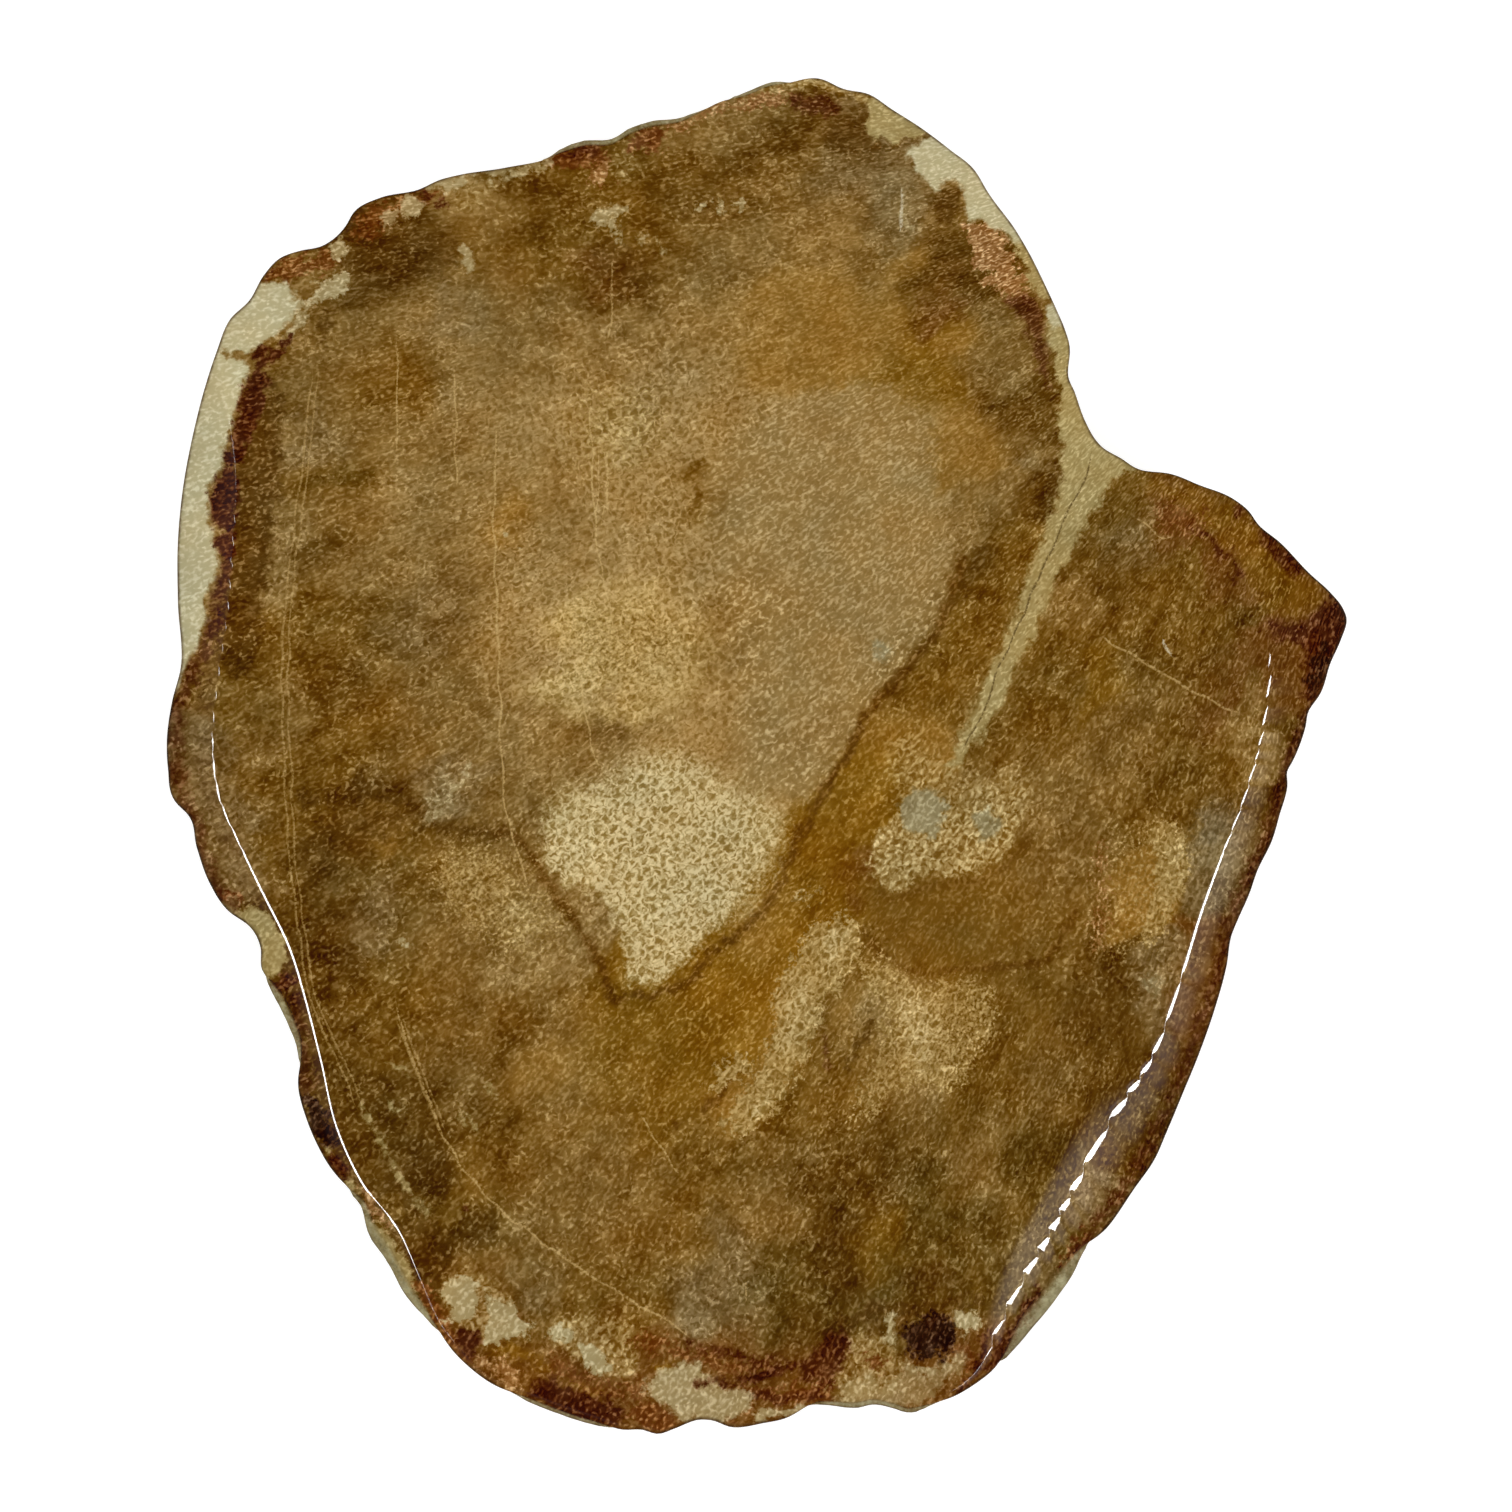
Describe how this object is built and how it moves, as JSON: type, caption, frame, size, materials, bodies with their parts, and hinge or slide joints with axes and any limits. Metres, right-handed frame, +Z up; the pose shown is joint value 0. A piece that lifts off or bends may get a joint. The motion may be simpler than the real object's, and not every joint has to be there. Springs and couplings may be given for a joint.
{
  "type": "petrified wood slice",
  "caption": "Flat slab of petrified wood sawn across the trunk, with a scalloped natural edge, a polished face and rounded polished rims.",
  "frame": {"origin": "middle of the slab's length and width, on the surface it lies on", "axes": "+Z up out of the polished face, +Y along the longest side towards the head of the slice, +X to the right as the polished face is seen"},
  "size_m": [0.0984, 0.113, 0.011],
  "materials": {
    "petrified_wood": "brown silicified wood, face and rims polished to a gloss, natural wall rough, back sawn"
  },
  "bodies": {
    "root": {"petrified_wood_slice": "petrified_wood"}
  },
  "joints": []
}
